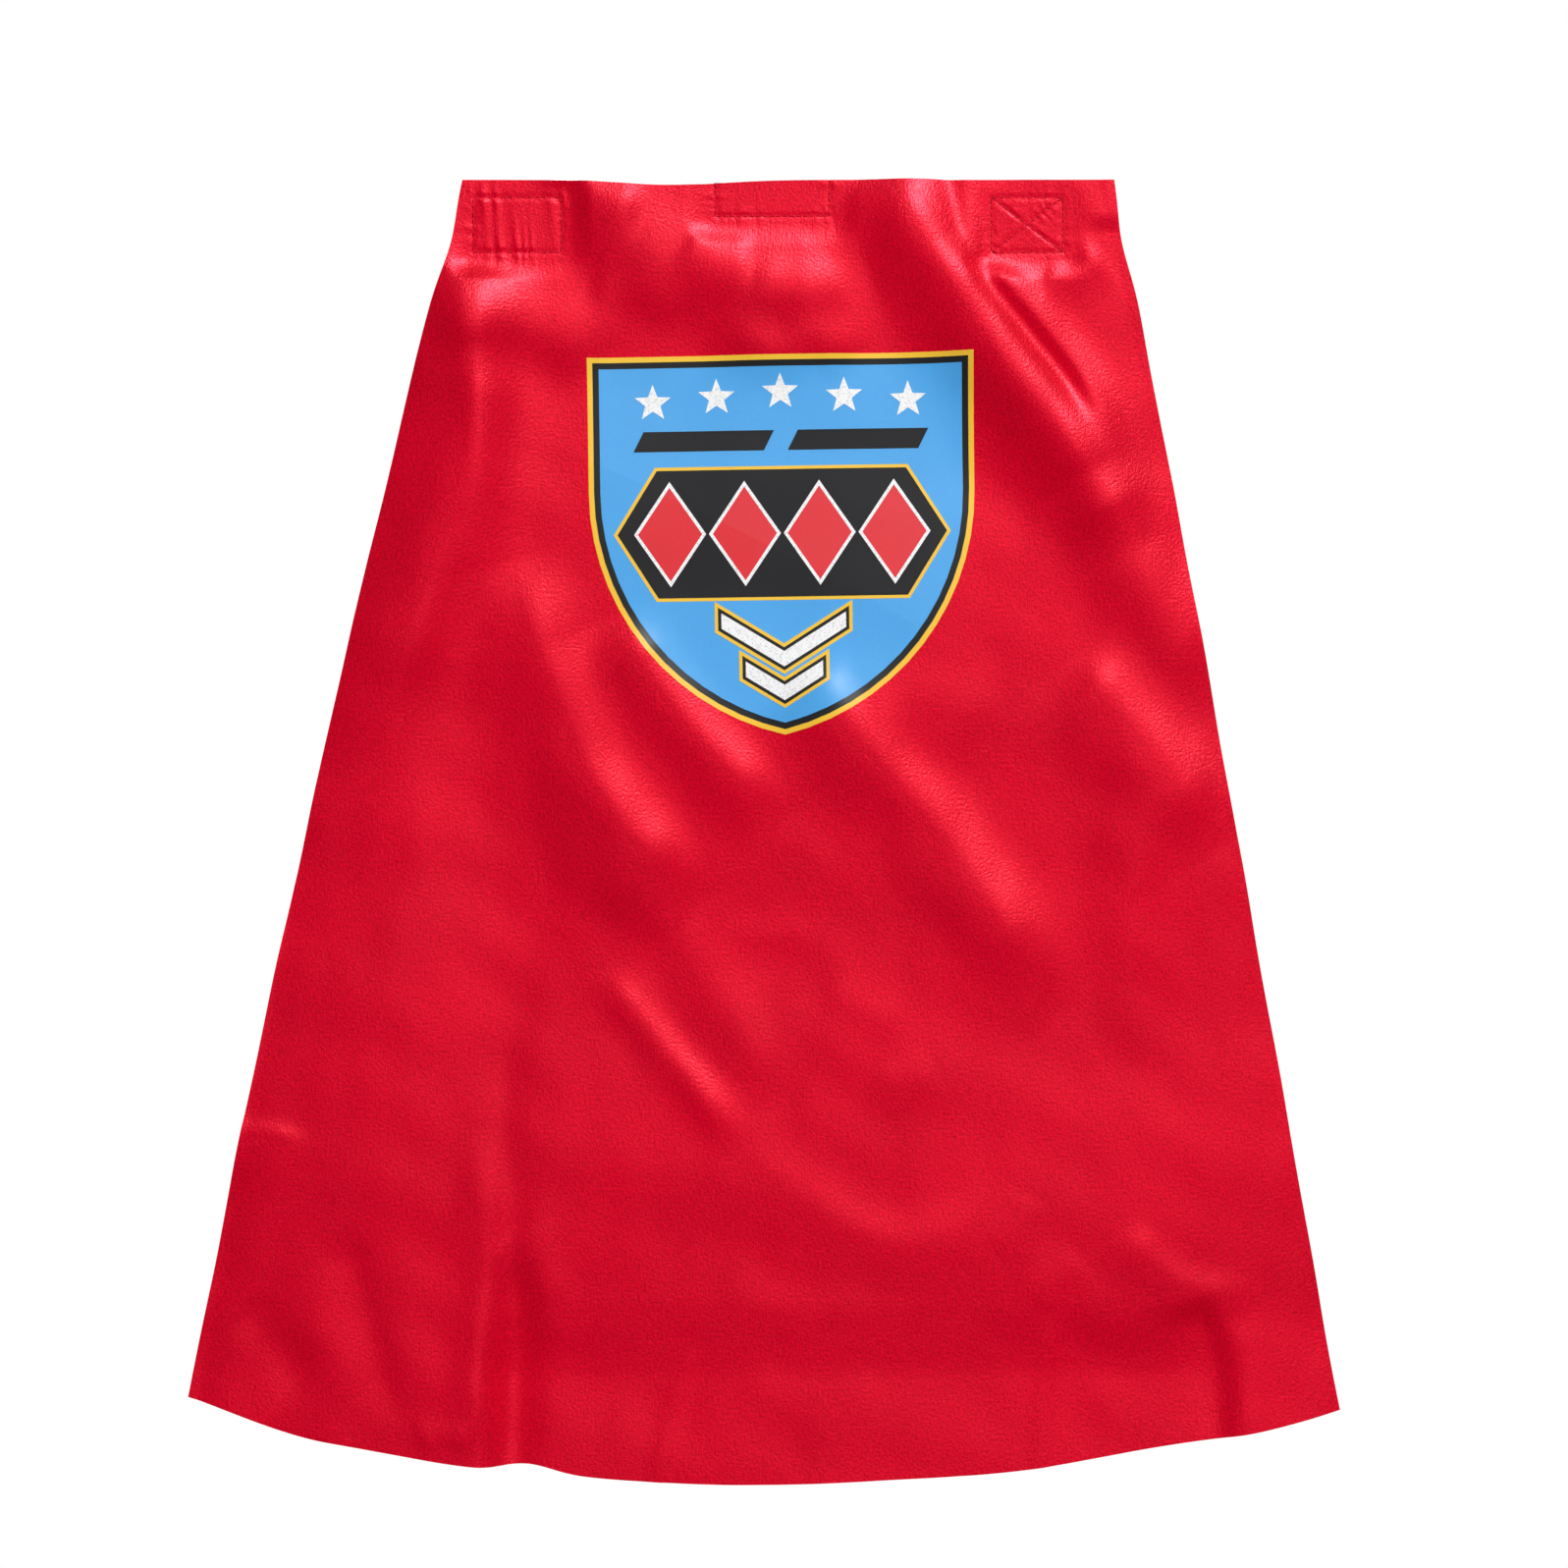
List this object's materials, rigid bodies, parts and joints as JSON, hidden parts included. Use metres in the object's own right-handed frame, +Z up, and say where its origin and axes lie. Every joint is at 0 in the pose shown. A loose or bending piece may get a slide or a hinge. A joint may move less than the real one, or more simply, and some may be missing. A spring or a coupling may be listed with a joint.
{
  "type": "superhero cape",
  "caption": "Child's red satin cape with a printed shield on its back, which fastens to a T-shirt's shoulders and neck with patches of hook tape.",
  "frame": {"origin": "centre of the centre strip's hook face", "axes": "+Z up along the hanging cape, +Y towards the wearer's back and out of the hook faces, +X to the right of someone who looks at the print"},
  "size_m": [0.385, 0.0179, 0.438],
  "materials": {
    "red_satin": "glossy polyester satin, hot-cut edges",
    "red_hook_tape": "woven nylon hook tape, matte",
    "red_thread": "polyester sewing thread",
    "yellow_film": "satin heat-transfer film",
    "black_film": "satin heat-transfer film",
    "blue_film": "satin heat-transfer film",
    "white_film": "heat-transfer film with fine glitter",
    "red_film": "satin heat-transfer film"
  },
  "bodies": {
    "yoke": {"panel_yoke": "red_satin", "left_hook_tape": "red_hook_tape", "centre_hook_tape": "red_hook_tape", "right_hook_tape": "red_hook_tape", "left_tape_stitching": "red_thread", "centre_tape_stitching": "red_thread", "right_tape_stitching": "red_thread"},
    "drape_upper": {"panel_upper": "red_satin", "emblem_outline": "yellow_film", "emblem_border": "black_film", "emblem_field": "blue_film", "left_stripe": "black_film", "right_stripe": "black_film", "plaque_outline": "yellow_film", "plaque": "black_film", "star_1": "white_film", "star_2": "white_film", "star_3": "white_film", "star_4": "white_film", "star_5": "white_film", "diamond_edge_1": "white_film", "diamond_1": "red_film", "diamond_edge_2": "white_film", "diamond_2": "red_film", "diamond_edge_3": "white_film", "diamond_3": "red_film", "diamond_edge_4": "white_film", "diamond_4": "red_film", "chevron_outline_1": "yellow_film", "chevron_backing_1": "black_film", "chevron_1": "white_film", "chevron_outline_2": "yellow_film", "chevron_backing_2": "black_film", "chevron_2": "white_film"},
    "drape_lower": {"panel_lower": "red_satin"}
  },
  "joints": [
    {"name": "shoulder_fold", "type": "hinge", "parent": "yoke", "child": "drape_upper", "pos_m": [0, -0.0025, -0.039], "axis": [-1, 0, 0], "range_deg": [0, 80]},
    {"name": "waist_fold", "type": "hinge", "parent": "drape_upper", "child": "drape_lower", "pos_m": [0, -0.0025, -0.208], "axis": [-1, 0, 0], "range_deg": [0, 60]}
  ]
}
